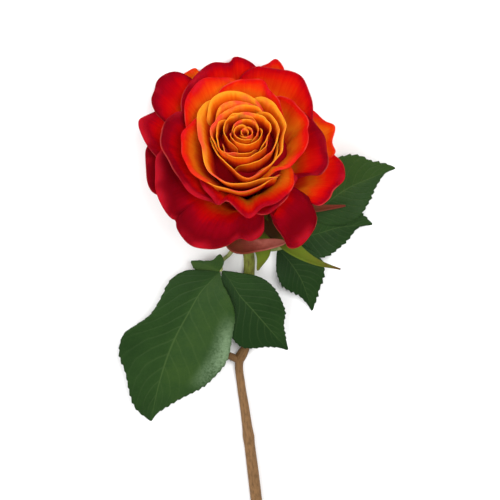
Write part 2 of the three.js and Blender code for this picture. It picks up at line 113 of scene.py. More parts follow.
def only(ob: bpy.types.Object) -> None:
    """Selects one object alone.

    Args:
        ob: the object, which becomes the active one.
    """
    bpy.ops.object.select_all(action="DESELECT")
    ob.select_set(True)
    bpy.context.view_layer.objects.active = ob


def sheet(name: str, shape: Shape, across: np.ndarray, along: np.ndarray) -> bpy.types.Object:
    """A grid that is bent into a shape.

    Args:
        name: name of the new object.
        shape: gives points in millimetres, one for each pair of places across and along.
        across: places of the grid's columns.
        along: places of the grid's rows.

    Returns:
        The new object, with a UV map whose u goes across and whose v goes along, both from 0 to 1.
    """
    columns, rows = len(across), len(along)
    bpy.ops.object.select_all(action="DESELECT")
    bpy.ops.mesh.primitive_grid_add(x_subdivisions=columns - 1, y_subdivisions=rows - 1, size=2.0)
    ob = bpy.context.object
    ob.name = ob.data.name = name
    place = np.zeros(len(ob.data.vertices) * 3)
    ob.data.vertices.foreach_get("co", place)
    place = place.reshape(-1, 3)
    column = np.rint((place[:, 0] + 1) / 2 * (columns - 1)).astype(int)
    row = np.rint((place[:, 1] + 1) / 2 * (rows - 1)).astype(int)
    points = shape(across, along)[column, row] * MM
    ob.data.vertices.foreach_set("co", points.ravel())
    corner = np.zeros(len(ob.data.loops), int)
    ob.data.loops.foreach_get("vertex_index", corner)
    u = (across[column] - across[0]) / (across[-1] - across[0])
    v = (along[row] - along[0]) / (along[-1] - along[0])
    pairs = np.stack([u[corner], v[corner]], axis=1)
    ob.data.uv_layers.active.name = "place"
    ob.data.uv_layers.active.data.foreach_set("uv", pairs.ravel())
    ob.data.polygons.foreach_set("use_smooth", [True] * len(ob.data.polygons))
    ob.data.update()
    return ob


def mark(ob: bpy.types.Object, **numbers: float | np.ndarray) -> None:
    """Gives an object's vertices numbers that its material reads.

    Args:
        ob: the object.
        numbers: one number for all its vertices or one for each, by name.
    """
    count = len(ob.data.vertices)
    for name, value in numbers.items():
        attribute = ob.data.attributes.new(name, "FLOAT", "POINT")
        attribute.data.foreach_set("value", np.broadcast_to(value, count).astype(np.float32))


def sew(ob: bpy.types.Object, capped: bool = True) -> None:
    """Closes the seam of a rolled sheet and turns its faces outward.

    Args:
        ob: the sheet, whose first and last columns lie together.
        capped: whether its two ends are closed as well.
    """
    only(ob)
    bpy.ops.object.mode_set(mode="EDIT")
    bpy.ops.mesh.select_all(action="SELECT")
    bpy.ops.mesh.remove_doubles(threshold=SEAM)
    if capped:
        bpy.ops.mesh.fill_holes(sides=0)
    bpy.ops.mesh.normals_make_consistent(inside=False)
    bpy.ops.object.mode_set(mode="OBJECT")


def thicken(ob: bpy.types.Object, thickness: float, sides: int = 0) -> None:
    """Turns a sheet into a closed blade.

    Args:
        ob: the sheet.
        thickness: in millimetres, half of it on each side.
        sides: 1 if the side away from the normals takes the next material.
    """
    only(ob)
    bpy.ops.object.modifier_add(type="SOLIDIFY")
    wall = ob.modifiers[-1]
    wall.thickness = thickness * MM
    wall.offset = 0.0
    wall.material_offset = sides
    bpy.ops.object.modifier_apply(modifier=wall.name)


def tube(
    name: str, spine: np.ndarray, radii: np.ndarray, sides: int, ends: Ends = Ends.ROUND
) -> bpy.types.Object:
    """A grid rolled round a spine and sewn up along its seam.

    Args:
        name: name of the new object.
        spine: points along the middle, in millimetres.
        radii: one for each point of the spine.
        sides: number of faces round it.
        ends: how its ends are finished.

    Returns:
        The closed tube.
    """
    along = np.linspace(0.0, 1.0, len(spine))
    tangent = units(np.gradient(spine, axis=0))
    upright = np.abs(tangent[:, 2]).max() >= 0.9
    side = units(np.cross(tangent, [0.0, 1.0, 0.0] if upright else [0.0, 0.0, 1.0]))
    top = np.cross(side, tangent)
    if ends is Ends.ROUND:
        radii = radii * np.sqrt(np.clip(np.minimum(along, 1 - along) * len(spine) / 1.5, 0.02, 1))

    def shape(across: np.ndarray, _: np.ndarray) -> np.ndarray:
        """A ring round each point of the spine."""
        angle = across[:, None, None] * math.pi
        return spine + radii[:, None] * (np.cos(angle) * side + np.sin(angle) * top)

    ob = sheet(name, shape, np.linspace(-1.0, 1.0, sides + 1), along)
    sew(ob)
    return ob


def fuse(name: str, pieces: list[bpy.types.Object], place: Matrix) -> bpy.types.Object:
    """Joins pieces into one object whose place is in its mesh.

    Args:
        name: name of the joined object.
        pieces: what is joined, the first one's materials leading.
        place: where the pieces' own frame lies in the row's frame.

    Returns:
        The joined object, at the origin.
    """
    bpy.ops.object.select_all(action="DESELECT")
    for piece in pieces:
        piece.select_set(True)
    bpy.context.view_layer.objects.active = pieces[0]
    if len(pieces) > 1:
        bpy.ops.object.join()
    ob = bpy.context.object
    ob.name = ob.data.name = name
    ob.data.transform(place)
    ob.data.update()
    return ob


def through(points: list[Knot], count: int) -> np.ndarray:
    """A smooth line through points, spaced evenly.

    Args:
        points: what the line runs through.
        count: number of points in the result.

    Returns:
        An array of points.
    """
    knots = np.array([tuple(p) for p in points], float)
    ends = np.vstack([2 * knots[0] - knots[1], knots, 2 * knots[-1] - knots[-2]])
    line = []
    for a, b, c, d in zip(ends[:-3], ends[1:-2], ends[2:-1], ends[3:]):
        pace = [np.linalg.norm(q - p) ** 0.5 for p, q in ((a, b), (b, c), (c, d))]
        into = (b - a) / pace[0] - (c - a) / (pace[0] + pace[1]) + (c - b) / pace[1]
        out = (c - b) / pace[1] - (d - b) / (pace[1] + pace[2]) + (d - c) / pace[2]
        t = np.linspace(0, 1, 40, endpoint=False)[:, None]
        line.append(
            b * (2 * t**3 - 3 * t**2 + 1) + c * (3 * t**2 - 2 * t**3)
            + into * pace[1] * (t**3 - 2 * t**2 + t) + out * pace[1] * (t**3 - t**2)
        )
    line = np.vstack([*line, knots[-1:]])
    way = np.concatenate([[0.0], np.cumsum(np.linalg.norm(np.diff(line, axis=0), axis=1))])
    even = np.linspace(0.0, way[-1], count)
    return np.stack([np.interp(even, way, line[:, k]) for k in range(line.shape[1])], axis=1)


def units(arrows: np.ndarray) -> np.ndarray:
    """The same arrows, each one long."""
    return arrows / np.linalg.norm(arrows, axis=1, keepdims=True)


# Finishes


SOCKETS = {
    "rough": "Roughness",
    "shine": "Specular IOR Level",
    "soft": "Subsurface Weight",
    "soft_depth": "Subsurface Scale",
}


class Value:
    """A node's socket that takes part in Python expressions."""

    def __init__(self, tree: bpy.types.NodeTree, socket: bpy.types.NodeSocket) -> None:
        """Wraps one output socket of a tree."""
        self.tree = tree
        self.socket = socket

    def maths(self, operation: str, *others: "Value | float", first: bool = True) -> "Value":
        """Adds a Math node.

        Args:
            operation: the node's operation.
            others: its other inputs.
            first: whether this socket comes before them.

        Returns:
            The node's result.
        """
        node = self.tree.nodes.new("ShaderNodeMath")
        node.operation = operation
        terms = [self, *others] if first else [*others, self]
        for entry, term in zip(node.inputs, terms):
            if isinstance(term, Value):
                self.tree.links.new(term.socket, entry)
            else:
                entry.default_value = term
        return Value(self.tree, node.outputs[0])

    def __add__(self, other: "Value | float") -> "Value":
        """Sum."""
        return self.maths("ADD", other)

    __radd__ = __add__

    def __mul__(self, other: "Value | float") -> "Value":
        """Product."""
        return self.maths("MULTIPLY", other)

    __rmul__ = __mul__

    def __sub__(self, other: "Value | float") -> "Value":
        """Difference."""
        return self.maths("SUBTRACT", other)

    def __rsub__(self, other: float) -> "Value":
        """Difference from a number."""
        return self.maths("SUBTRACT", other, first=False)

    def __pow__(self, other: float) -> "Value":
        """Power."""
        return self.maths("POWER", other)

    def __abs__(self) -> "Value":
        """Size without its sign."""
        return self.maths("ABSOLUTE")

    def larger(self, other: "Value | float") -> "Value":
        """The larger of two."""
        return self.maths("MAXIMUM", other)

    def step(self, low: float, high: float) -> "Value":
        """A smooth rise from 0 at low to 1 at high."""
        t = ((self - low) * (1 / (high - low))).larger(0.0).maths("MINIMUM", 1.0)
        return t * t * (3 - t * 2)


class Finish:
    """A material in the making."""

    def __init__(self, name: str, **numbers: float) -> None:
        """Starts a material.

        Args:
            name: its name.
            numbers: the shader's own numbers, by the names of SOCKETS.
        """
        self.material = bpy.data.materials.new(name)
        self.material.use_nodes = True
        self.tree = self.material.node_tree
        self.shader = self.tree.nodes["Principled BSDF"]
        for number, value in numbers.items():
            self.shader.inputs[SOCKETS[number]].default_value = value

    def feed(self, entry: bpy.types.NodeSocket, value: object) -> None:
        """Links or sets one input.

        Args:
            entry: the input.
            value: a link, a colour or a number.
        """
        if isinstance(value, Value):
            self.tree.links.new(value.socket, entry)
        elif isinstance(value, tuple) and entry.type == "RGBA":
            entry.default_value = (*value, 1.0)
        else:
            entry.default_value = value

    def node(
        self,
        kind: str,
        settings: dict[str, object] | None = None,
        inputs: dict[str | int, object] | None = None,
        result: str | int = 0,
    ) -> Value:
        """Adds a node.

        Args:
            kind: the node's type.
            settings: its properties, and a ramp's stops.
            inputs: values or links for its sockets.
            result: the output that is wanted.

        Returns:
            That output.
        """
        made = self.tree.nodes.new(kind)
        for name, value in (settings or {}).items():
            if name == "stops":
                ramp = made.color_ramp
                while len(ramp.elements) < len(value):
                    ramp.elements.new(1.0)
                for element, (place, colour) in zip(ramp.elements, value):
                    element.position = place
                    element.color = (*colour, 1.0)
            else:
                setattr(made, name, value)
        for name, value in (inputs or {}).items():
            self.feed(made.inputs[name], value)
        return Value(self.tree, made.outputs[result])

    def place(self) -> tuple[Value, Value]:
        """Finds the place on the surface.

        Returns:
            The way across and the way along it, each from 0 to 1.
        """
        pair = self.node("ShaderNodeUVMap", {"uv_map": "place"})
        across = self.node("ShaderNodeSeparateXYZ", inputs={0: pair}, result=0)
        along = self.node("ShaderNodeSeparateXYZ", inputs={0: pair}, result=1)
        return across, along

    def number(self, name: str) -> Value:
        """A number that the piece's vertices carry."""
        return self.node("ShaderNodeAttribute", {"attribute_name": name}, result="Fac")

    def noise(self, vector: Value, scale: float = 1.0, detail: float = 3.0, grit: float = 0.55) -> Value:
        """Cloudy noise from 0 to 1."""
        inputs = {"Vector": vector, "Scale": scale, "Detail": detail, "Roughness": grit}
        return self.node("ShaderNodeTexNoise", inputs=inputs, result="Fac")

    def here(self) -> Value:
        """Object coordinates."""
        return self.node("ShaderNodeTexCoord", result="Object")

    def vector(self, x: Value | float, y: Value | float, z: Value | float) -> Value:
        """Three numbers as one vector."""
        return self.node("ShaderNodeCombineXYZ", inputs={0: x, 1: y, 2: z})

    def mix(self, factor: Value | float, a: Value | Colour, b: Value | Colour) -> Value:
        """A colour between two."""
        return self.node("ShaderNodeMix", {"data_type": "RGBA"}, {0: factor, 6: a, 7: b}, result=2)

    def ramp(self, value: Value, stops: Stops) -> Value:
        """A colour along stops."""
        return self.node("ShaderNodeValToRGB", {"stops": stops}, {0: value})

    def paint(self, colour: Value | Colour) -> None:
        """Sets the base colour."""
        self.feed(self.shader.inputs["Base Color"], colour)

    def relief(self, height: Value, strength: float, depth: float) -> None:
        """Raises the surface by a height from 0 to 1, whose full depth is in millimetres."""
        inputs = {"Strength": strength, "Distance": depth * MM, "Height": height}
        self.feed(self.shader.inputs["Normal"], self.node("ShaderNodeBump", inputs=inputs))


@dataclass(frozen=True)
class PetalFinish:
    """Velvety petal, whose colours run from its foot to its margin.

    Attributes:
        name: name of the material.
        stops: colours from the foot to the margin.
        rim: colour of the margin in patches, partly a flush of its own and partly a painted sheen.
        edge_highlight: colour of a painted highlight along the very edge between them.
        run: how far the colours run on from the foot to the margin.
        glow: how strongly the rim's colour shows, flush and painted sheen together.
        streak: how far the fine veins carry the colours along.
        cloud: how far broad patches do.
        hem: how much redder the outermost millimetres are.
        span: the blush at which the last stop is reached.
        veins: how often fine veins come across, along and from petal to petal.
        patches: how often broad patches do.
    """

    name: str
    stops: Stops
    rim: Colour
    edge_highlight: Colour = (0.72, 0.09, 0.08)
    run: float = 1.6
    glow: float = 0.5
    streak: float = 0.2
    cloud: float = 0.5
    hem: float = 0.14
    span: float = 1.25
    veins: tuple[float, float, float] = (60, 1.6, 31)
    patches: tuple[float, float, float] = (3.5, 2.5, 17)

    def make(self) -> bpy.types.Material:
        """Builds the material.

        Returns:
            The material, which reads blush, first_gold, last_gold and tone.
        """
        f = Finish(self.name, rough=0.6, shine=0.0, soft=0.5, soft_depth=1.5 * MM)
        across, along = f.place()
        place = across, along, f.number("tone")
        fine = f.noise(f.vector(*(p * n for p, n in zip(place, self.veins))), grit=0.6)
        broad = f.noise(f.vector(*(p * n for p, n in zip(place, self.patches))), detail=2.0)
        first, last = (1 - across * 2).step(0.1, 1.0), (across * 2 - 1).step(0.1, 1.0)
        red = f.number("blush") - first * f.number("first_gold") - last * f.number("last_gold")
        reach = along.larger(abs(across * 2 - 1) ** 6 * 0.85)
        red = red + (reach - 1) * self.run + along.step(0.9, 1.0) * self.hem
        red = red + (fine - 0.5) * self.streak + (broad - 0.5) * self.cloud
        colour = f.ramp(red * (1 / self.span), self.stops)
        # The rim's patches are partly a flush of the petal's own and partly a painted sheen.
        edge = along.step(0.90, 0.99) * broad.step(0.45, 0.65) * self.glow
        # Painted highlight: a thin pale line along the very edge, in patches.
        edge_highlight = along.step(0.982, 1.0) * (1 - broad.step(0.40, 0.55)) * 0.3
        f.paint(f.mix(edge_highlight, f.mix(edge, colour, self.rim), self.edge_highlight))
        f.relief(fine, 0.25, 0.3)
        return f.material


@dataclass(frozen=True)
class LeafFinish:
    """Glossy leaf with a pale net of veins.

    Attributes:
        name: name of the material.
        greens: colours of the blade, from dark to light.
        pale: colour of the veins.
        bloom: colour of the painted sheen, light reflected along one margin.
        pairs: number of pairs of side veins.
        slant: how far they run on towards the margin, in pairs.
    """

    name: str = "leaf"
    greens: Stops = (
        (0.3, (0.007, 0.024, 0.004)), (0.6, (0.016, 0.043, 0.008)), (0.9, (0.032, 0.066, 0.010)),
    )
    pale: Colour = (0.055, 0.095, 0.026)
    bloom: Colour = (0.20, 0.29, 0.17)
    pairs: float = 11
    slant: float = 3.2

    def make(self) -> bpy.types.Material:
        """Builds the material.

        Returns:
            The material, which reads tone and wax.
        """
        f = Finish(self.name, rough=0.45, shine=0.08)
        across, along = f.place()
        side = abs(across * 2 - 1)
        spot = f.here()
        cloud = f.noise(spot, 60.0, 4.0)
        fine = f.noise(spot, 900.0, grit=0.6)
        light = cloud * 0.5 + fine * 0.2 + f.number("tone") * 0.5 - across.step(0.42, 0.7) * 0.16
        wave = (along * self.pairs - side * self.slant + (cloud - 0.5) * 0.6) * math.tau
        vein = (wave.maths("COSINE") * 0.5 + 0.5) ** 18
        rib = 1 - side.step(0.0, 0.03)
        lines = (vein * (1 - side * 0.8) * 0.4).larger(rib)
        veined = f.mix(lines * 0.5, f.ramp(light, self.greens), self.pale)
        # Painted sheen: a pale patch along one margin, where that margin reflects the light.
        wax = f.number("wax") * abs(across - 0.04).step(0.17, 0.0) * abs(along - 0.46).step(0.26, 0.06)
        wax = wax * (fine * 0.5 + cloud * 0.5).step(0.25, 0.65)
        f.paint(f.mix(wax * 0.6, veined, self.bloom))
        inputs = {"Vector": spot, "Scale": 1100.0}
        cells = f.node("ShaderNodeTexVoronoi", {"feature": "DISTANCE_TO_EDGE"}, inputs, "Distance")
        f.relief(cells.step(0.0, 0.35) * 0.35 - vein * 0.8 + fine * 0.3, 0.6, 0.25)
        return f.material


@dataclass(frozen=True)
class StalkFinish:
    """Pale green leaf stalk.

    Attributes:
        name: name of the material.
        greens: its two greens.
    """

    name: str = "stalk"
    greens: tuple[Colour, Colour] = ((0.13, 0.17, 0.05), (0.27, 0.29, 0.11))

    def make(self) -> bpy.types.Material:
        """Builds the material.

        Returns:
            The material.
        """
        f = Finish(self.name, rough=0.55, shine=0.1)
        cloud = f.noise(f.here(), 300.0, 4.0)
        f.paint(f.mix(cloud.step(0.3, 0.7), *self.greens))
        f.relief(cloud, 0.4, 0.2)
        return f.material


@dataclass(frozen=True)
class SepalFinish:
    """Downy sepal, green at its foot and brown towards its tip.

    Attributes:
        name: name of the material.
        stops: colours from the foot to the tip.
        dark: painted shade, the colour of a foot that lies in shadow.
        downy: colour of the down.
    """

    name: str = "sepal"
    stops: Stops = ((0.0, (0.085, 0.12, 0.008)), (0.5, (0.09, 0.035, 0.010)), (1.0, (0.13, 0.022, 0.013)))
    dark: Colour = (0.035, 0.016, 0.003)
    downy: Colour = (0.38, 0.12, 0.09)

    def make(self) -> bpy.types.Material:
        """Builds the material.

        Returns:
            The material, which reads brown, shade and down.
        """
        f = Finish(self.name, rough=0.7, shine=0.08)
        _, along = f.place()
        spot = f.here()
        cloud = f.noise(spot, 260.0, 4.0)
        ripe = (along + f.number("brown") - 1 + (cloud - 0.5) * 0.6).step(0.0, 1.0)
        # Painted shade: a foot that lies in shadow is darkened, as far as the sepal's shade number says.
        colour = f.mix(f.number("shade") * along.step(0.52, 0.30), f.ramp(ripe, self.stops), self.dark)
        down = f.number("down") * (along + (cloud - 0.5) * 0.4).step(0.6, 0.95)
        f.paint(f.mix(down * 0.7, colour, self.downy))
        f.relief(f.noise(spot, 1600.0, 2.0), 0.6, 0.3)
        return f.material


@dataclass(frozen=True)
class BarkFinish:
    """Woody shoot, olive near the bloom and brown below.

    Attributes:
        name: name of the material.
        stops: colours from the youngest bark to the oldest.
        dark: colour of the cracks.
    """

    name: str = "bark"
    stops: Stops = (
        (0.0, (0.15, 0.17, 0.025)), (0.4, (0.06, 0.050, 0.015)), (0.75, (0.13, 0.065, 0.022)),
        (1.0, (0.19, 0.10, 0.040)),
    )
    dark: Colour = (0.05, 0.026, 0.010)

    def make(self) -> bpy.types.Material:
        """Builds the material.

        Returns:
            The material, which reads age.
        """
        f = Finish(self.name, rough=0.6, shine=0.15)
        across, along = f.place()
        cloud = f.noise(f.here(), 180.0, 4.0)
        grain = f.noise(f.vector(across * 16, along * 60, 0.0), 1.0, 4.0, 0.7)
        age = (f.number("age") + (cloud - 0.5) * 0.3).step(0.0, 1.0)
        cracks = (grain - 0.5).step(-0.1, 0.2) * 0.65
        f.paint(f.mix(cracks, f.ramp(age, self.stops), self.dark))
        f.relief(grain * 0.7 + cloud * 0.3, 0.7, 0.4)
        return f.material


# Painted shade: the face's first stop is a deep red at the foot, so that the crevices between petals read
# crimson in their shade.
PETAL_FACE = PetalFinish("petal_face", (
    (0.0, (0.46, 0.004, 0.012)), (0.15, (0.56, 0.050, 0.006)), (0.29, (0.64, 0.14, 0.005)),
    (0.46, (0.56, 0.040, 0.002)), (0.60, (0.48, 0.006, 0.002)), (0.72, (0.34, 0.001, 0.003)),
    (0.82, (0.20, 0.001, 0.006)), (1.0, (0.11, 0.001, 0.004)),
), (0.50, 0.010, 0.022))
PETAL_BACK = PetalFinish("petal_back", (
    (0.0, (0.66, 0.24, 0.010)), (0.29, (0.66, 0.13, 0.003)), (0.46, (0.62, 0.050, 0.002)),
    (0.60, (0.54, 0.009, 0.001)), (0.72, (0.38, 0.001, 0.002)), (0.82, (0.22, 0.001, 0.005)),
    (1.0, (0.12, 0.001, 0.003)),
), (0.50, 0.008, 0.018))
# Painted shade: the heart's petals are dark crimson deep down, where the crevices between them lie in
# shade, and run through orange to gold at the margin.
HEART_PETAL = PetalFinish("heart_petal", (
    (0.0, (0.20, 0.001, 0.006)), (0.80, (0.26, 0.003, 0.005)), (0.87, (0.40, 0.018, 0.003)),
    (0.92, (0.54, 0.058, 0.002)), (0.96, (0.60, 0.110, 0.003)), (1.0, (0.70, 0.230, 0.012)),
), (0.66, 0.022, 0.030), edge_highlight=(0.80, 0.30, 0.030), run=1.0, cloud=0.10, streak=0.05, glow=0.8, hem=0, span=1)


# Bloom


Rim = list[tuple[float, float]]


@dataclass
class Petal:
    """One petal, in the bloom's own frame: z along its axis, azimuth 0 across it.

    Attributes:
        lean: the way its margin points, 0 up the axis and 90 straight out.
        heights: of its rim above the foot, where the rim starts, in its middle and where it ends.
        rim: azimuth and radius of the points that its rim runs through.
        margin: the way along at which its margin starts to roll outward.
        roll: how far the margin rolls at the sides, in degrees.
        tip_roll: how far it rolls in the middle.
        ruffle: height of the waves near the rim.
        grip: how long the margin keeps its lean.
        dive: how far the rim's two ends drop between their neighbours.
        swing: how much more its last end leans than its middle.
        blush: how far red has run down it.
        gold_ends: how much less red its first and its last end are.
        dye: how its colours lie.
        order: its place between the outermost, 0, and the innermost, 1.
    """

    lean: float = 80.0
    heights: tuple[float, float, float] = (0.0, 0.0, 0.0)
    rim: Rim = field(default_factory=list)
    margin: float = 0.945
    roll: float = 80.0
    tip_roll: float = 60.0
    ruffle: float = 0.4
    grip: float = 0.35
    dive: float = 0.0
    swing: float = 0.0
    blush: float = 1.0
    gold_ends: tuple[float, float] = (0.0, 0.0)
    dye: Dye = Dye.RED
    order: float = 0.0

    # Steps from the foot to the margin, and along the rim.
    STEPS = 128
    RIM_STEPS = 400
    # Radius and height of the outermost petal's foot and of the innermost one's.
    FEET = np.array([[7.0, 0.5], [1.4, 16.0]])
    # How steeply each of the two rises from its foot, in degrees, and how long it keeps to that.
    RISES = (38.0, 88.0)
    HOLD = 21.0
    # How far round the bloom the foot reaches, as a share of the rim, and where it is at full width.
    CLAW = 0.6
    SHOULDER = 0.5
    # Pace, start and height of the waves near the rim, two outward and one upward, and where they begin.
    WAVES = ((9.1, 3, 1.0), (17.3, 7, 0.6), (13.7, 5, 0.8))
    WAVES_FROM = 0.45

    def rim_at(self, u: np.ndarray) -> tuple[np.ndarray, np.ndarray, np.ndarray]:
        """The rim in round coordinates.

        Args:
            u: places along the rim, from -1 to 1.

        Returns:
            Azimuth in radians, radius and height, one of each for every place.
        """
        first, middle, last = self.heights
        knots = []
        for v, (azimuth, radius) in zip(np.linspace(-1, 1, len(self.rim)), self.rim):
            height = middle + (last - first) / 2 * v + ((first + last) / 2 - middle) * v * v
            angle = math.radians(azimuth)
            knots.append((radius * math.cos(angle), radius * math.sin(angle), height))
        line = through(knots, self.RIM_STEPS + 1)
        x, y, z = (np.interp(u, np.linspace(-1, 1, self.RIM_STEPS + 1), row) for row in line.T)
        azimuth = np.unwrap(np.arctan2(y, x))
        return azimuth, np.hypot(x, y), z

    def points(self, u: np.ndarray, q: np.ndarray) -> np.ndarray:
        """The petal's surface.

        Args:
            u: places across, from -1 to 1.
            q: places along, from 0 at the foot to 1 at the margin.

        Returns:
            A grid of points in millimetres.
        """
        azimuth, radius, height = self.rim_at(u)
        height = height - self.dive * np.abs(u) ** 8
        lean = np.radians(self.lean + self.swing * u)
        rise = math.radians(np.interp(self.order, (0, 1), self.RISES))
        foot = self.FEET[0] + (self.FEET[1] - self.FEET[0]) * self.order
        tip = np.stack([radius, height], axis=1)
        grip = self.grip * np.linalg.norm(tip - foot, axis=1, keepdims=True)
        ends = [
            foot + 0 * tip,
            foot + self.HOLD * np.array([math.cos(rise), math.sin(rise)]) + 0 * tip,
            tip - grip * np.stack([np.sin(lean), np.cos(lean)], axis=1),
            tip,
        ]
        t = np.linspace(0, 1, self.STEPS + 1)[None, :, None]
        weights = [(1 - t) ** 3, 3 * (1 - t) ** 2 * t, 3 * (1 - t) * t * t, t**3]
        line = sum(w * e[:, None] for w, e in zip(weights, ends))
        roll = math.radians(1) * (self.tip_roll + (self.roll - self.tip_roll) * np.abs(u) ** 1.5)
        way = (np.arange(self.STEPS) + 0.5) / self.STEPS
        turn = -roll[:, None] * step(way[None, :], self.margin, 1)
        steps = np.diff(line, axis=1)
        turned = np.stack([
            steps[..., 0] * np.cos(turn) - steps[..., 1] * np.sin(turn),
            steps[..., 0] * np.sin(turn) + steps[..., 1] * np.cos(turn),
        ], axis=-1)
        rolled = np.concatenate([line[:, :1], line[:, :1] + np.cumsum(turned, axis=1)], axis=1)
        rolled += (tip[:, None] - rolled[:, -1:]) * t * t
        r, z = (np.stack([np.interp(q, t[0, :, 0], column[:, k]) for column in rolled]) for k in range(2))
        middle = float(azimuth[0] + azimuth[-1]) / 2
        wrap = (azimuth - middle)[:, None]
        beta = wrap * (self.CLAW + (1 - self.CLAW) * step(q[None, :], 0, self.SHOULDER))
        near_rim = self.ruffle * step(q[None, :], self.WAVES_FROM, 1)
        waves = [near_rim * high * np.sin(beta * pace + start * middle) for pace, start, high in self.WAVES]
        r += waves[0] + waves[1]
        z += waves[2]
        return np.stack([r * np.cos(middle + beta), r * np.sin(middle + beta), z], axis=-1)


OUTER = Petal()
SPREAD_OUT = replace(OUTER, roll=35, tip_roll=20, blush=0.85)
BENT_BACK = replace(OUTER, grip=0.5, roll=60, tip_roll=40)
MIDDLE = replace(OUTER, roll=75, tip_roll=55, dive=4, blush=0.8)
HEART = replace(OUTER, margin=0.95, roll=50, tip_roll=30, ruffle=0.15, dive=10, dye=Dye.GOLD)


def petal(
    kind: Petal, lean: float, heights: tuple[float, float, float], rim: Rim, **own: object
) -> Petal:
    """A petal of a kind, with what is its own."""
    return replace(kind, lean=lean, heights=heights, rim=rim, **own)


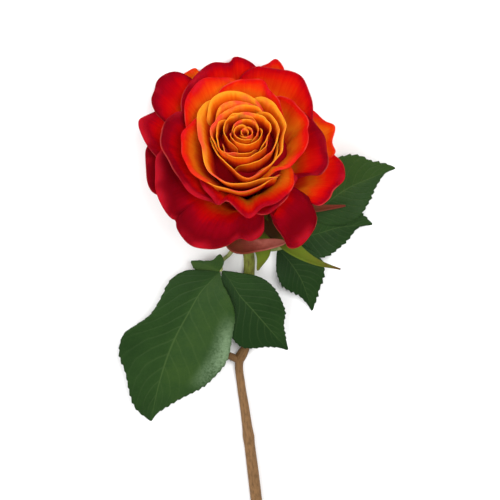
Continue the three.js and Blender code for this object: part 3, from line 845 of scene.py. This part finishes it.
@dataclass
class Bloom:
    """The petals.

    Attributes:
        thickness: of a petal.
        heart_count: number of petals in the spiral at the very middle.
        red: the outer petals, from the outermost inward.
        amber: the inner petals, from the outermost inward.
    """

    thickness: float = 0.3
    heart_count: int = 6
    red: list[Petal] = field(default_factory=lambda: [
        petal(SPREAD_OUT, 80, (35, 39.5, 35), [
            (111, 46), (112, 52.5), (114, 55), (115, 57), (119, 57), (124, 56.5), (129, 52.5)
        ], blush=0.5),
        petal(SPREAD_OUT, 80, (38, 43, 38), [
            (60, 42.5), (67, 48.5), (70, 53), (75, 56.5), (78, 53.5), (83, 51), (87, 43)
        ], blush=0.74),
        petal(SPREAD_OUT, 75, (33, 38.5, 35), [
            (-10, 32.5), (1, 40.5), (4, 43), (11, 42), (22, 45), (28, 43), (41, 42.5), (53, 41.5)
        ], blush=0.62),
        petal(SPREAD_OUT, 85, (28, 34, 32), [
            (327, 31.5), (326, 41.5), (332, 44.5), (337, 44.5), (347, 48), (355, 46.5), (364, 42), (377, 36)
        ], blush=0.98, gold_ends=(0, 0.3)),
        petal(OUTER, 90, (31, 29.5, 24), [
            (156, 42), (166, 47), (176, 46.5), (188, 47), (197, 45), (202, 39)
        ], blush=1.5),
        petal(OUTER, 88, (35, 38.5, 32), [
            (133, 50), (146, 50), (153, 52), (158, 53.5), (167, 49.5), (173, 46), (179, 41), (185, 34.5)
        ], blush=1.1),
        petal(OUTER, 85, (36, 43.5, 36), [
            (117, 40.5), (120, 52), (125, 58), (131, 59), (136, 58), (141, 55), (146, 53), (150, 48.5),
            (153, 39.5)
        ], blush=1.13),
        petal(BENT_BACK, 120, (28, 21.5, 27), [
            (219, 35), (224, 44), (232, 47), (240, 47.5), (250, 45), (258, 40), (265, 36), (274, 39),
            (283, 36), (289, 27)
        ], blush=1.4),
        petal(BENT_BACK, 100, (34, 34, 15), [
            (154, 33), (170, 39), (184, 41.5), (197, 44), (211, 46), (222, 45.5), (222, 43), (224, 43),
            (229, 38)
        ], blush=1.42, gold_ends=(0, 0.15)),
        petal(BENT_BACK, 120, (28, 22.5, 30), [
            (309, 25), (295, 30), (296, 40.5), (296, 46), (302, 47.5), (312, 46.5), (320, 43.5), (327, 36)
        ], blush=1.48),
        petal(OUTER, 60, (42, 49.5, 42), [
            (76, 37), (84, 48), (91, 51), (96, 51), (99, 47.5), (108, 49.5), (119, 46.5), (131, 42.5),
            (143, 38), (156, 29.5)
        ], blush=1),
        petal(OUTER, 75, (36, 44, 42), [
            (330, 25), (337, 32), (338, 37.5), (344, 39.5), (358, 38.5), (374, 36.5), (386, 36), (402, 36)
        ], blush=1.1),
        petal(OUTER, 60, (41, 48, 45), [
            (12, 34), (29, 37), (43, 42), (56, 48), (63, 48), (75, 46), (84, 45.5), (91, 42), (97, 35)
        ], blush=0.9),
        petal(MIDDLE, 60, (44, 48, 37), [
            (147, 27.5), (146, 35.5), (156, 38.5), (168, 39.5), (184, 38.5), (202, 36.5), (220, 35.5),
            (233, 34.5), (242, 28.5)
        ], blush=1.17, gold_ends=(0, 0.25)),
        petal(MIDDLE, 60, (34, 42, 44), [
            (255, 23.5), (272, 32), (286, 36), (299, 35.5), (311, 32.5), (323, 29.5), (332, 25.5)
        ], blush=1.05),
        petal(MIDDLE, 70, (44, 43.5, 45), [
            (207, 26.5), (225, 28.5), (242, 32.5), (250, 35), (254, 32), (265, 36), (273, 39.5), (282, 36),
            (295, 35), (309, 32.5), (325, 28), (339, 22)
        ], blush=0.95, gold_ends=(0, 0.35)),
        petal(MIDDLE, 50, (48, 53.5, 47), [
            (88, 30), (98, 35.5), (109, 37), (119, 39), (130, 37.5), (143, 34.5), (157, 31), (171, 25.5)
        ], blush=0.7, gold_ends=(0.25, 0)),
        petal(MIDDLE, 50, (45, 50.5, 49), [
            (-72, 19.5), (-52, 21.5), (-36, 24.5), (-21, 27), (-6, 29.5), (9, 29), (19, 31.5), (37, 31.5),
            (56, 31.5), (69, 30)
        ], blush=0.74, gold_ends=(0.4, 0), swing=-25),
        petal(MIDDLE, 45, (50, 53, 46), [
            (130, 24.5), (154, 25.5), (173, 28), (188, 30), (203, 31), (218, 31), (230, 30.5), (243, 26.5)
        ], blush=0.66, gold_ends=(0, 0.34)),
    ])
    amber: list[Petal] = field(default_factory=lambda: [
        petal(MIDDLE, 40, (50, 56, 51), [
            (34, 23), (50, 25.5), (66, 28), (75, 32), (94, 31), (104, 30), (113, 29), (126, 25)
        ], blush=0.7),
        petal(HEART, 18, (43, 51, 45), [
            (201, 27.5), (223, 28), (241, 29.5), (257, 30), (271, 30.5), (284, 28), (300, 24.5), (318, 22.5)
        ], blush=1.05, dive=2),
        petal(HEART, 30, (50, 56.5, 49), [
            (109, 27), (130, 27.5), (151, 25), (177, 22), (206, 22), (225, 26), (239, 29), (253, 30),
            (269, 28), (288, 25), (308, 24.5)
        ], blush=1.05, dive=2, swing=-25),
        petal(HEART, 25, (53, 57, 53), [
            (55, 18.5), (81, 21), (98, 23.5), (115, 25), (131, 24.5), (154, 20.5)
        ], blush=1.03),
        petal(HEART, 20, (50, 56.5, 53), [
            (-83, 17.5), (-55, 20), (-34, 20), (-11, 18), (7, 19), (26, 19.5), (57, 22), (75, 23), (97, 20)
        ], blush=1.03, swing=5),
        petal(HEART, 12, (52, 55.5, 53), [
            (172, 16.5), (210, 16.5), (245, 19.5), (265, 24.5), (274, 26.5), (289, 23.5), (315, 20),
            (355, 15.5)
        ], blush=1.02, dive=3),
        petal(HEART, 22, (54, 57, 53.5), [
            (143, 18), (131, 19), (112, 18.5), (92, 17), (72, 16), (49, 15)
        ], blush=1.02),
        petal(HEART, 10, (55, 58, 53), [
            (35, 15.5), (71, 15.5), (99, 14.5), (136, 14), (173, 15.5), (181, 16), (212, 15.5), (244, 15.5)
        ], blush=1.01),
        petal(HEART, 5, (53, 58, 55), [
            (246, 16.5), (277, 18), (303, 18), (331, 16.5), (367, 15.5), (404, 15), (445, 15)
        ], blush=1.02),
        petal(HEART, 0, (55, 58.5, 56), [
            (-63, 11), (-26, 11), (5, 12), (37, 11), (87, 9.5), (129, 11), (169, 11)
        ]),
        petal(HEART, -3, (56, 58, 55), [
            (115, 12), (159, 13), (197, 13.5), (228, 16.5), (250, 14.5), (281, 12.5), (323, 8.5)
        ]),
        petal(HEART, -5, (55, 57.5, 55), [
            (200, 11.5), (236, 15.5), (262, 16.5), (286, 15), (318, 13), (363, 10.5)
        ], dive=3),
    ])

    # Places across and along a petal where its grid has points, closer together near the margin.
    ACROSS = np.linspace(-1, 1, 49)
    ALONG = np.concatenate([np.linspace(0, 0.9, 22), np.linspace(0.91, 1, 14)])
    # Azimuth that the spiral starts from and its turn from petal to petal, in degrees.
    FIRST_TURN = 6
    TURN = 137.508
    # Share of a turn that makes one petal's pattern differ from the next one's.
    TONE = 0.618

    def __post_init__(self) -> None:
        """Adds the spiral at the very middle and gives every petal its place in the order."""
        for i in range(self.heart_count):
            inward = i / (self.heart_count - 1)
            middle, half = self.FIRST_TURN + self.TURN * (i + 1), 105 + 25 * inward
            radius, height = 9.6 - 7.8 * inward, 57.5 - 1.5 * inward
            offsets = [-1, -0.7, -0.35, 0, 0.35, 0.7, 1]
            rim = [(middle + half * o, radius * (1.06 - 0.16 * abs(o) + 0.06 * o)) for o in offsets]
            heights = height - 1, height, height - 1
            self.amber.append(petal(HEART, -8 - 6 * inward, heights, rim, roll=40, tip_roll=25,
                                    ruffle=0.05, dive=3 - 3 * inward))
        every = [*self.red, *self.amber]
        for k, one in enumerate(every):
            one.order = k / (len(every) - 1)

    def core(self, finish: bpy.types.Material) -> bpy.types.Object:
        """The closed bud of the petals that are too deep to be seen.

        Args:
            finish: of the heart's petals.

        Returns:
            The bud.
        """
        heights = np.array([0, 9, 18, 28, 34, 40, 45, 49, 51])
        radii = np.array([3.4, 3.4, 9, 14, 18, 20, 16, 9, 0.3])
        steps = np.linspace(0, heights[-1], 40)
        spine = np.stack([0 * steps, 0 * steps, steps + 0.2], axis=1)
        bud = tube("bud", spine, np.interp(steps, heights, radii), 32, Ends.FLAT)
        # Its blush keeps the whole bud in the heart finish's dark crimson, the painted shade of the depths.
        mark(bud, blush=0.55, tone=0.5)
        bud.data.materials.append(finish)
        return bud

    def cup(self, finishes: list[bpy.types.Material]) -> bpy.types.Object:
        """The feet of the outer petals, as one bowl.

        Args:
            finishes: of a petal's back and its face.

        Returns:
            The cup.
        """
        def shape(across: np.ndarray, along: np.ndarray) -> np.ndarray:
            """A bowl, fluted as by the petals' feet.

            Args:
                across: places round it, from -1 to 1.
                along: places from its foot to its brim, from 0 to 1.

            Returns:
                A grid of points in millimetres.
            """
            angle = across[:, None] * math.pi
            r = 4.6 + 11.5 * along + 0.9 * along**2 + 0.5 * along * np.sin(angle * 5)
            z = 0.6 + 3.4 * along + 12 * along**2 + 0 * angle
            return np.stack([r * np.cos(angle), r * np.sin(angle), z], axis=-1)

        cup = sheet("cup", shape, np.linspace(-1, 1, 61), np.linspace(0, 1, 12))
        mark(cup, blush=1.1, tone=0.3)
        for finish in finishes:
            cup.data.materials.append(finish)
        sew(cup, capped=False)
        thicken(cup, self.thickness, sides=1)
        return cup

    def blades(
        self,
        petals: list[Petal],
        name: str,
        finishes: dict[Dye, list[bpy.types.Material]],
        others: list[bpy.types.Object] | None = None,
    ) -> bpy.types.Object:
        """Petals as one piece.

        Args:
            petals: what is built.
            name: name of the piece.
            finishes: of a back and a face, for each dye.
            others: what is joined to them.

        Returns:
            The piece, in place.
        """
        blades = []
        for one in petals:
            blade = sheet(name, one.points, self.ACROSS, self.ALONG)
            first_gold, last_gold = one.gold_ends
            tone = (one.rim[0][0] * self.TONE) % 1
            mark(blade, blush=one.blush, first_gold=first_gold, last_gold=last_gold, tone=tone)
            for finish in finishes[one.dye]:
                blade.data.materials.append(finish)
            thicken(blade, self.thickness, sides=1)
            blades.append(blade)
        return fuse(name, [*blades, *(others or [])], bloom_to_row())

    def build(self) -> list[bpy.types.Object]:
        """Builds and dresses the petals.

        Returns:
            The red piece and the amber one.
        """
        face, back, heart = PETAL_FACE.make(), PETAL_BACK.make(), HEART_PETAL.make()
        finishes = {Dye.RED: [back, face], Dye.GOLD: [heart, heart]}
        red = self.blades(self.red, "red_petals", finishes, [self.cup([back, face])])
        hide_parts("outer_petals")
        amber = self.blades(self.amber, "amber_petals", finishes, [self.core(heart)])
        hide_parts("inner_petals")
        return [red, amber]


# Hip and sepals


@dataclass
class Sepal:
    """One sepal, in the bloom's own frame.

    Attributes:
        width: half its width at the foot.
        cup: how far its sides bend up, as a share of its width.
        path: azimuth, radius and height of the points that its midrib runs through.
        brown: how brown it is.
        taper: how much narrower it is at the tip.
        down: how downy its tip is.
        shade: how much painted shade darkens its foot.
    """

    width: float
    cup: float
    path: list[tuple[float, float, float]]
    brown: float = 0.5
    taper: float = 0.9
    down: float = 0.0
    shade: float = 0.0

    # Half the width of its very tip.
    TIP = 0.3

    def points(self, v: np.ndarray, t: np.ndarray) -> np.ndarray:
        """The sepal's surface.

        Args:
            v: places across, from -1 to 1.
            t: places along, from 0 at the foot to 1 at the tip.

        Returns:
            A grid of points in millimetres.
        """
        turns = [(math.radians(azimuth), radius, height) for azimuth, radius, height in self.path]
        line = through([(r * math.cos(a), r * math.sin(a), height) for a, r, height in turns], len(t))
        tangent = units(np.gradient(line, axis=0))
        across = units(np.cross([0.0, 0.0, 1.0], tangent))
        up = np.cross(tangent, across)
        half = self.width * (1 - self.taper * t) * np.sqrt(1 - t**4) + self.TIP
        out = (v[:, None] * half)[..., None] * across
        lift = (self.cup * half * v[:, None] ** 2)[..., None] * up
        return line[None] + out + lift


@dataclass
class Calyx:
    """The hip and its five sepals.

    Attributes:
        length: of the hip.
        radius: of the hip where it is widest.
        neck: radius of its lower end.
        thickness: of a sepal.
        sepals: round the hip.
    """

    length: float = 12.0
    radius: float = 7.2
    neck: float = 2.9
    thickness: float = 0.7
    sepals: list[Sepal] = field(default_factory=lambda: [
        # The first and the fourth sepal get painted shade on their feet.
        Sepal(
            7.5, 0.25, [(316, 5, -2), (318, 16, -1.5), (317, 31, -7), (324, 41, -14), (332, 52, -20)],
            brown=0.45, taper=0.98, shade=1,
        ),
        Sepal(5.5, 0.3, [(20, 5, -2), (8, 17, -3), (0, 32, -4), (2, 41, -5), (3, 48.5, -5)], brown=1),
        Sepal(
            4.9, 0.35, [(244, 5, -2), (250, 18, 0), (262, 26.5, 1), (283, 26.5, 1), (308, 31, 2.5)],
            brown=1.3, taper=0.3, down=1,
        ),
        Sepal(
            9, 0.25, [(284, 5, -2), (290, 14, -3.5), (293, 21.5, -12), (284, 24.5, -22)],
            brown=0.3, shade=0.7,
        ),
        Sepal(4.4, 0.3, [(130, 5, -2), (130, 14, -0.5), (132, 22, 4), (136, 31, 13)]),
    ])

    def hip(self) -> bpy.types.Object:
        """The swelling under the petals.

        Returns:
            The hip.
        """
        way = np.array([0, 0.14, 0.4, 0.66, 0.86, 1.0])
        reach = np.array([
            self.neck, self.neck * 1.15, self.radius * 0.78, self.radius * 0.96, self.radius,
            self.radius * 0.85,
        ])
        steps = np.linspace(0, 1, 25)
        spine = np.stack([0 * steps, 0 * steps, self.length * (steps - 1)], axis=1)
        ob = tube("hip", spine, np.interp(steps, way, reach), 32, Ends.FLAT)
        mark(ob, brown=0.1)
        return ob

    def build(self) -> list[bpy.types.Object]:
        """Builds and dresses the calyx.

        Returns:
            The calyx alone.
        """
        pieces = [self.hip()]
        for one in self.sepals:
            blade = sheet("sepal", one.points, np.linspace(-1, 1, 13), np.linspace(0, 1, 41))
            mark(blade, brown=one.brown, down=one.down, shade=one.shade)
            thicken(blade, self.thickness)
            pieces.append(blade)
        calyx = fuse("calyx_dressed", pieces, bloom_to_row())
        calyx.data.materials.clear()
        calyx.data.materials.append(SepalFinish().make())
        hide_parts("calyx")
        return [calyx]


# Stem


@dataclass
class Stem:
    """The woody shoot with the stub of an older one, in the table's frame.

    Attributes:
        radius: under the hip.
        hip_length: from the bloom's foot to the stem's end.
        hip_gap: how far the stem keeps straight under the hip.
        knots: points that it runs through below that.
        nodes: way along it to each swelling and how far the swelling stands out.
        node_length: how long a swelling is.
        stub: points that the stub runs through.
        stub_radii: at its foot and its cut end.
        stub_age: how old its bark is, from 0 to 1.
        thinner: how much thinner the shoot gets below the hip, as a share of its radius.
        thicker: how much thicker it gets again further down.
    """

    radius: float = 2.75
    hip_length: float = 12.3
    hip_gap: float = 3.2
    knots: list[Knot] = field(default_factory=lambda: [
        (0.5, -21, 4), (1.9, -32.5, 3.5), (1.4, -50, 3.6), (1.2, -70, 3.4), (0.2, -77.5, 3.2), (-3, -85, 3),
        (-2, -99, 3), (-0.4, -110, 3), (4.1, -147, 3.1), (9, -195, 3.2), (12, -235, 2.7),
    ])
    nodes: list[tuple[float, float]] = field(default_factory=lambda: [
        (14, 0.45), (74, 0.7), (118, 0.35), (170, 0.5), (212, 0.4),
    ])
    node_length: float = 3.2
    stub: list[Knot] = field(default_factory=lambda: [
        (-2.5, -85, 3.1), (-5.5, -83.3, 3.4), (-8.4, -81.8, 3.8),
    ])
    stub_radii: tuple[float, float] = (2.0, 1.8)
    stub_age: float = 0.8
    thinner: float = 0.26
    thicker: float = 0.32

    # Ways along the shoot between which it gets thinner and then thicker.
    THINS = (30, 70)
    THICKENS = (76, 146)
    # How far from the table's origin the bark is young and how far it is old.
    AGES = (22, 112)

    def build(self) -> list[bpy.types.Object]:
        """Builds and dresses the stem.

        Returns:
            The stem alone.
        """
        back = Vector((0, -math.cos(BLOOM_LIFT), -math.sin(BLOOM_LIFT)))
        top = FOOT_ON_TABLE + back * self.hip_length
        spine = through([top, top + back * self.hip_gap, *self.knots], 200)
        way = np.concatenate([[0.0], np.cumsum(np.linalg.norm(np.diff(spine, axis=0), axis=1))])
        change = self.thicker * step(way, *self.THICKENS) - self.thinner * step(way, *self.THINS)
        radii = self.radius * (1 + change)
        for place, rise in self.nodes:
            radii += rise * np.exp(-(((way - place) / self.node_length) ** 2))
        shoot = tube("shoot", spine, radii, 32, Ends.FLAT)
        lows = np.array([v.co.y for v in shoot.data.vertices]) / MM
        mark(shoot, age=step(-lows, *self.AGES))
        stub = tube("stub", through(self.stub, 20), np.linspace(*self.stub_radii, 20), 20, Ends.FLAT)
        mark(stub, age=self.stub_age)
        stem = fuse("woody_stem", [shoot, stub], table_to_row())
        stem.data.materials.clear()
        stem.data.materials.append(BarkFinish().make())
        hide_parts("stem")
        return [stem]


# Leaves


@dataclass
class Leaflet:
    """One toothed leaflet, in the table's frame.

    Attributes:
        rib: points that the midrib runs through, seen from above.
        left: points that the left margin runs through between the midrib's ends.
        right: points that the right margin runs through.
        heights: of the midrib at its base, its middle and its tip.
        teeth: number on each side.
        tooth: how far a tooth stands out.
        fold: how much the halves rise from the midrib, in degrees.
        wave: how high the margins wave.
        waves: number of waves from base to tip.
        tone: how light its green is.
        wax: how strongly a painted sheen lightens its left margin.
    """

    rib: list[tuple[float, float]]
    left: list[tuple[float, float]]
    right: list[tuple[float, float]]
    heights: tuple[float, float, float]
    teeth: int
    tooth: float
    fold: float
    wave: float = 0.0
    waves: float = 2.0
    tone: float = 0.4
    wax: float = 0.0

    # Where a tooth's point is in its length, and how near the margin the notches begin.
    POINT = 0.72
    CUTS = 0.86
    # Where the left margin's waves start and where the right one's do.
    STARTS = (0.8, 2.6)
    # Half widths of the blade below which the notches and the waves fade away.
    NOTCHED = 4
    WAVED = 12
    # Half the width of the midrib.
    RIB = 0.45

    def points(self, v: np.ndarray, t: np.ndarray) -> np.ndarray:
        """The leaflet's surface.

        Args:
            v: places across, from -1 at the left margin to 1 at the right one.
            t: places along, from 0 at the base to 1 at the tip.

        Returns:
            A grid of points in millimetres.
        """
        def flat(points: list[tuple[float, float]]) -> np.ndarray:
            """A line through points seen from above."""
            return through([(x, y, 0.0) for x, y in points], len(t))

        line = flat(self.rib)
        tangent = units(np.gradient(line, axis=0))
        across = np.cross(tangent, [0.0, 0.0, 1.0])
        halves = [flat([self.rib[0], *side, self.rib[-1]]) - line for side in (self.left, self.right)]
        on_left = (v < 0)[:, None, None]
        half = np.where(on_left, halves[0][None], halves[1][None])
        width = np.linalg.norm(half, axis=2)
        reach, side = np.abs(v)[:, None], np.sign(v)[:, None]
        saw = (t * self.teeth) % 1
        saw = np.where(saw < self.POINT, saw / self.POINT, (1 - saw) / (1 - self.POINT))
        size = self.tooth * (0.75 + 0.25 * np.sin(31 * t)) * saw
        notch = step(reach, self.CUTS, 1) * size * np.minimum(1, width / self.NOTCHED)
        first, middle, last = self.heights
        height = first + (4 * middle - 3 * first - last) * t + (2 * first + 2 * last - 4 * middle) * t * t
        turn = math.tau * self.waves * t[None, :] + np.where(on_left[..., 0], *self.STARTS)
        ripple = self.wave * reach**2 * np.minimum(1, width / self.WAVED) * np.sin(turn)
        points = line[None] + half * reach[..., None]
        points = points + (side * (self.RIB * reach + notch))[..., None] * across
        points = points + (0.9 * notch)[..., None] * tangent
        points[..., 2] = height + math.sin(math.radians(self.fold)) * width * reach + ripple
        return points


@dataclass
class Leaf:
    """A stalk and its leaflets, in the table's frame.

    Attributes:
        name: name of the piece.
        node: what it replaces.
        stalk: points that the stalk runs through.
        leaflets: on it.
        radii: of the stalk, at its foot and its end.
        thickness: of a leaflet.
    """

    name: str
    node: str
    stalk: list[Knot]
    leaflets: list[Leaflet]
    radii: tuple[float, float] = (1.15, 0.85)
    thickness: float = 0.45

    # Faces along each tooth.
    STEPS = 7

    def build(self, green: bpy.types.Material, pale: bpy.types.Material) -> list[bpy.types.Object]:
        """Builds and dresses the leaf.

        Args:
            green: finish of its leaflets.
            pale: finish of its stalk.

        Returns:
            The leaf alone.
        """
        stalk = tube("stalk", through(self.stalk, 40), np.linspace(*self.radii, 40), 16)
        stalk.data.materials.append(pale)
        pieces = [stalk]
        for one in self.leaflets:
            along = np.linspace(0, 1, one.teeth * self.STEPS + 1)
            blade = sheet("leaflet", one.points, np.linspace(-1, 1, 33), along)
            blade.data.materials.append(green)
            mark(blade, tone=one.tone, wax=one.wax)
            thicken(blade, self.thickness)
            pieces.append(blade)
        leaf = fuse(self.name, pieces, table_to_row())
        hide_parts(self.node)
        return [leaf]


LEFT_LEAF = Leaf("left_leaf", "leaf_left", [
    (-3.6, -22.5, 3.6), (-7.5, -28.5, 5), (-11.5, -32, 7.6), (-12, -36.5, 9.8),
], [
    Leaflet(
        [(-12.5, -36.5), (-17.5, -41.5), (-22, -46.5), (-28, -57), (-34, -68.5), (-38.5, -80),
         (-43, -95.5), (-47.5, -117)],
        [(-11.5, -41), (-8.5, -46.5), (-6, -54), (-5.5, -59), (-6.5, -65.5), (-8, -75), (-10.5, -82),
         (-19.5, -93), (-27, -99), (-38, -106.5), (-44.5, -112)],
        [(-20, -35.5), (-28.5, -35.5), (-35.5, -39.5), (-40.5, -48.5), (-46, -57), (-52.5, -62),
         (-58.5, -66.5), (-61, -72), (-61.5, -79), (-59, -88), (-57, -99.5), (-54, -109)],
        (9.8, 11.5, 3), 26, 0.6, 6, 1.2, tone=0.55, wax=1,
    ),
    Leaflet(
        [(-11, -36), (-7.5, -40.5), (-2.5, -48.5), (3.5, -55.5), (9.5, -63), (21, -78)],
        [(-4.5, -36.5), (4.5, -38), (11, -41.5), (16.5, -49), (19, -57), (18.5, -64.5), (19.5, -71.5)],
        [(-11.5, -42), (-10, -53), (-7, -67.5), (-2, -74), (4.5, -75.5), (11, -75), (16.5, -76)],
        (9.8, 10.4, 6), 22, 0.5, 7, 0.8, tone=0.1,
    ),
    Leaflet(
        [(-12.5, -36), (-16.5, -34), (-21.5, -32.5), (-26.5, -32)],
        [(-15.5, -36.5), (-20.5, -36.5), (-25, -34.5)],
        [(-10.5, -31.5), (-12.5, -27.5), (-15, -30.5), (-18.5, -31.5), (-22.5, -31.5)],
        (9.8, 9.3, 7), 8, 0.4, 10, tone=1,
    ),
])

RIGHT_LEAF = Leaf("right_leaf", "leaf_right", [
    (4.45, -26.5, 3.6), (16, -26, 4.8), (26, -20.5, 5), (32, -11, 5.2),
], [
    Leaflet(
        [(32, -11), (38.5, -3.5), (48.5, 4.5), (60.5, 10), (72.5, 14.5)],
        [(31, 4), (36, 16), (44.5, 20.5), (50.5, 21.5), (56.5, 20.5), (60.5, 18), (64.5, 17), (69, 16)],
        [(39, -13), (48.5, -12), (55.5, -7), (59.5, -1), (62.5, 5.5), (67.5, 12.5)],
        (5.2, 7, 4), 18, 0.8, 8, 0.8, tone=0.7,
    ),
    Leaflet(
        [(26, -20.5), (35.5, -18), (46, -15), (62, -14)],
        [(29.5, -12.5), (39, -7), (48.5, -7.5), (56, -9)],
        [(27, -26.5), (36.5, -29.5), (44.5, -25.5), (50.5, -20), (55, -15)],
        (5, 5.5, 3), 15, 0.8, 5, 0.6,
    ),
    Leaflet(
        [(16, -26), (22, -33), (27.5, -42), (33, -58.5)],
        [(26.5, -24.5), (35, -29), (38, -36), (37, -42.5), (35, -49.5)],
        [(15.5, -30), (16, -38), (19.5, -45), (26.5, -49.5), (30.5, -54)],
        (4.8, 5.2, 3), 14, 0.9, 8, 0.6, tone=0.1,
    ),
])


# Studio


@dataclass(frozen=True)
class Lamp:
    """A soft square light that points at the rose.

    Attributes:
        name: name of the light.
        place: where it hangs, in metres.
        size: of its square, in metres.
        power: in watts.
    """

    name: str
    place: tuple[float, float, float]
    size: float
    power: float

    # What it points at.
    AIM = Vector((0, -0.05, 0.03))

    def build(self) -> None:
        """Hangs the light."""
        data = bpy.data.lights.new(self.name, "AREA")
        data.size, data.energy = self.size, self.power
        ob = bpy.data.objects.new(self.name, data)
        bpy.context.scene.collection.objects.link(ob)
        ob.location = self.place
        ob.rotation_euler = (self.AIM - Vector(self.place)).to_track_quat("-Z", "Y").to_euler()


@dataclass
class Studio:
    """Floor, lights and camera.

    Attributes:
        scale: millimetres of the rose to a pixel of the picture.
        picture: pixels along the picture's side.
        bloom_at: pixel where the bloom's middle is seen, from the upper left corner.
        bloom_height: of that middle above the bloom's foot.
        tilt: of the view from straight down, in degrees.
        distance: of the camera.
        sensor: width of the camera's sensor.
        floor: side of the floor, in metres.
        pale: colour of the floor.
        daylight: strength of the light from all round.
        lamps: above the rose.
    """

    scale: float = 0.46
    picture: int = 500
    bloom_at: tuple[int, int] = (245, 133)
    bloom_height: float = 55.0
    tilt: float = 17.0
    distance: float = 1000.0
    sensor: float = 36.0
    floor: float = 6.0
    pale: Colour = (0.9, 0.9, 0.9)
    daylight: float = 0.75
    lamps: tuple[Lamp, ...] = (
        Lamp("key", (-0.25, -0.5, 1.0), 0.5, 9.5),
        Lamp("fill", (0.55, -0.1, 0.9), 0.6, 6),
    )

    def camera(self) -> None:
        """Sets the camera where the photograph was taken from."""
        tilt = math.radians(self.tilt)
        right = Vector((-1, 0, 0))
        upward = Vector((0, -math.cos(tilt), -math.sin(tilt)))
        outward = Vector((0, -math.sin(tilt), math.cos(tilt)))
        middle = self.picture / 2
        heart = bloom_to_row() @ Vector((0, 0, self.bloom_height * MM))
        aim = heart - (self.bloom_at[0] - middle) * self.scale * MM * right
        aim -= (middle - self.bloom_at[1]) * self.scale * MM * upward
        data = bpy.data.cameras.new("camera")
        ob = bpy.data.objects.new("camera", data)
        bpy.context.scene.collection.objects.link(ob)
        turn = Matrix((right, upward, outward)).transposed().to_4x4()
        ob.matrix_world = Matrix.Translation(aim + outward * self.distance * MM) @ turn
        data.sensor_width = self.sensor
        data.lens = self.sensor * self.distance / (self.picture * self.scale)
        data.clip_start, data.clip_end = 0.01, 20.0
        bpy.context.scene.camera = ob

    def build(self) -> None:
        """Sets up the whole studio."""
        bpy.ops.object.select_all(action="DESELECT")
        bpy.ops.mesh.primitive_plane_add(size=self.floor)
        floor = bpy.context.object
        floor.name = "floor"
        finish = Finish("floor", rough=0.9, shine=0.1)
        finish.paint(self.pale)
        floor.data.materials.append(finish.material)
        world = bpy.data.worlds.new("studio")
        bpy.context.scene.world = world
        world.use_nodes = True
        background = world.node_tree.nodes["Background"].inputs
        background["Color"].default_value = (1, 1, 1, 1)
        background["Strength"].default_value = self.daylight
        for lamp in self.lamps:
            lamp.build()
        bpy.context.scene.view_settings.view_transform = "Standard"
        self.camera()


def main() -> None:
    """Builds the rose, then the studio."""
    logging.basicConfig(level=logging.INFO, format="%(message)s")
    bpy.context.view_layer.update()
    greens = LeafFinish().make(), StalkFinish().make()
    made = [*Bloom().build(), *Calyx().build(), *Stem().build()]
    for leaf in (LEFT_LEAF, RIGHT_LEAF):
        made += leaf.build(*greens)
    for piece in made:
        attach(piece, "root")
        log.info("%s: %d faces", piece.name, len(piece.data.polygons))
    Studio().build()


if __name__ == "__main__":
    main()
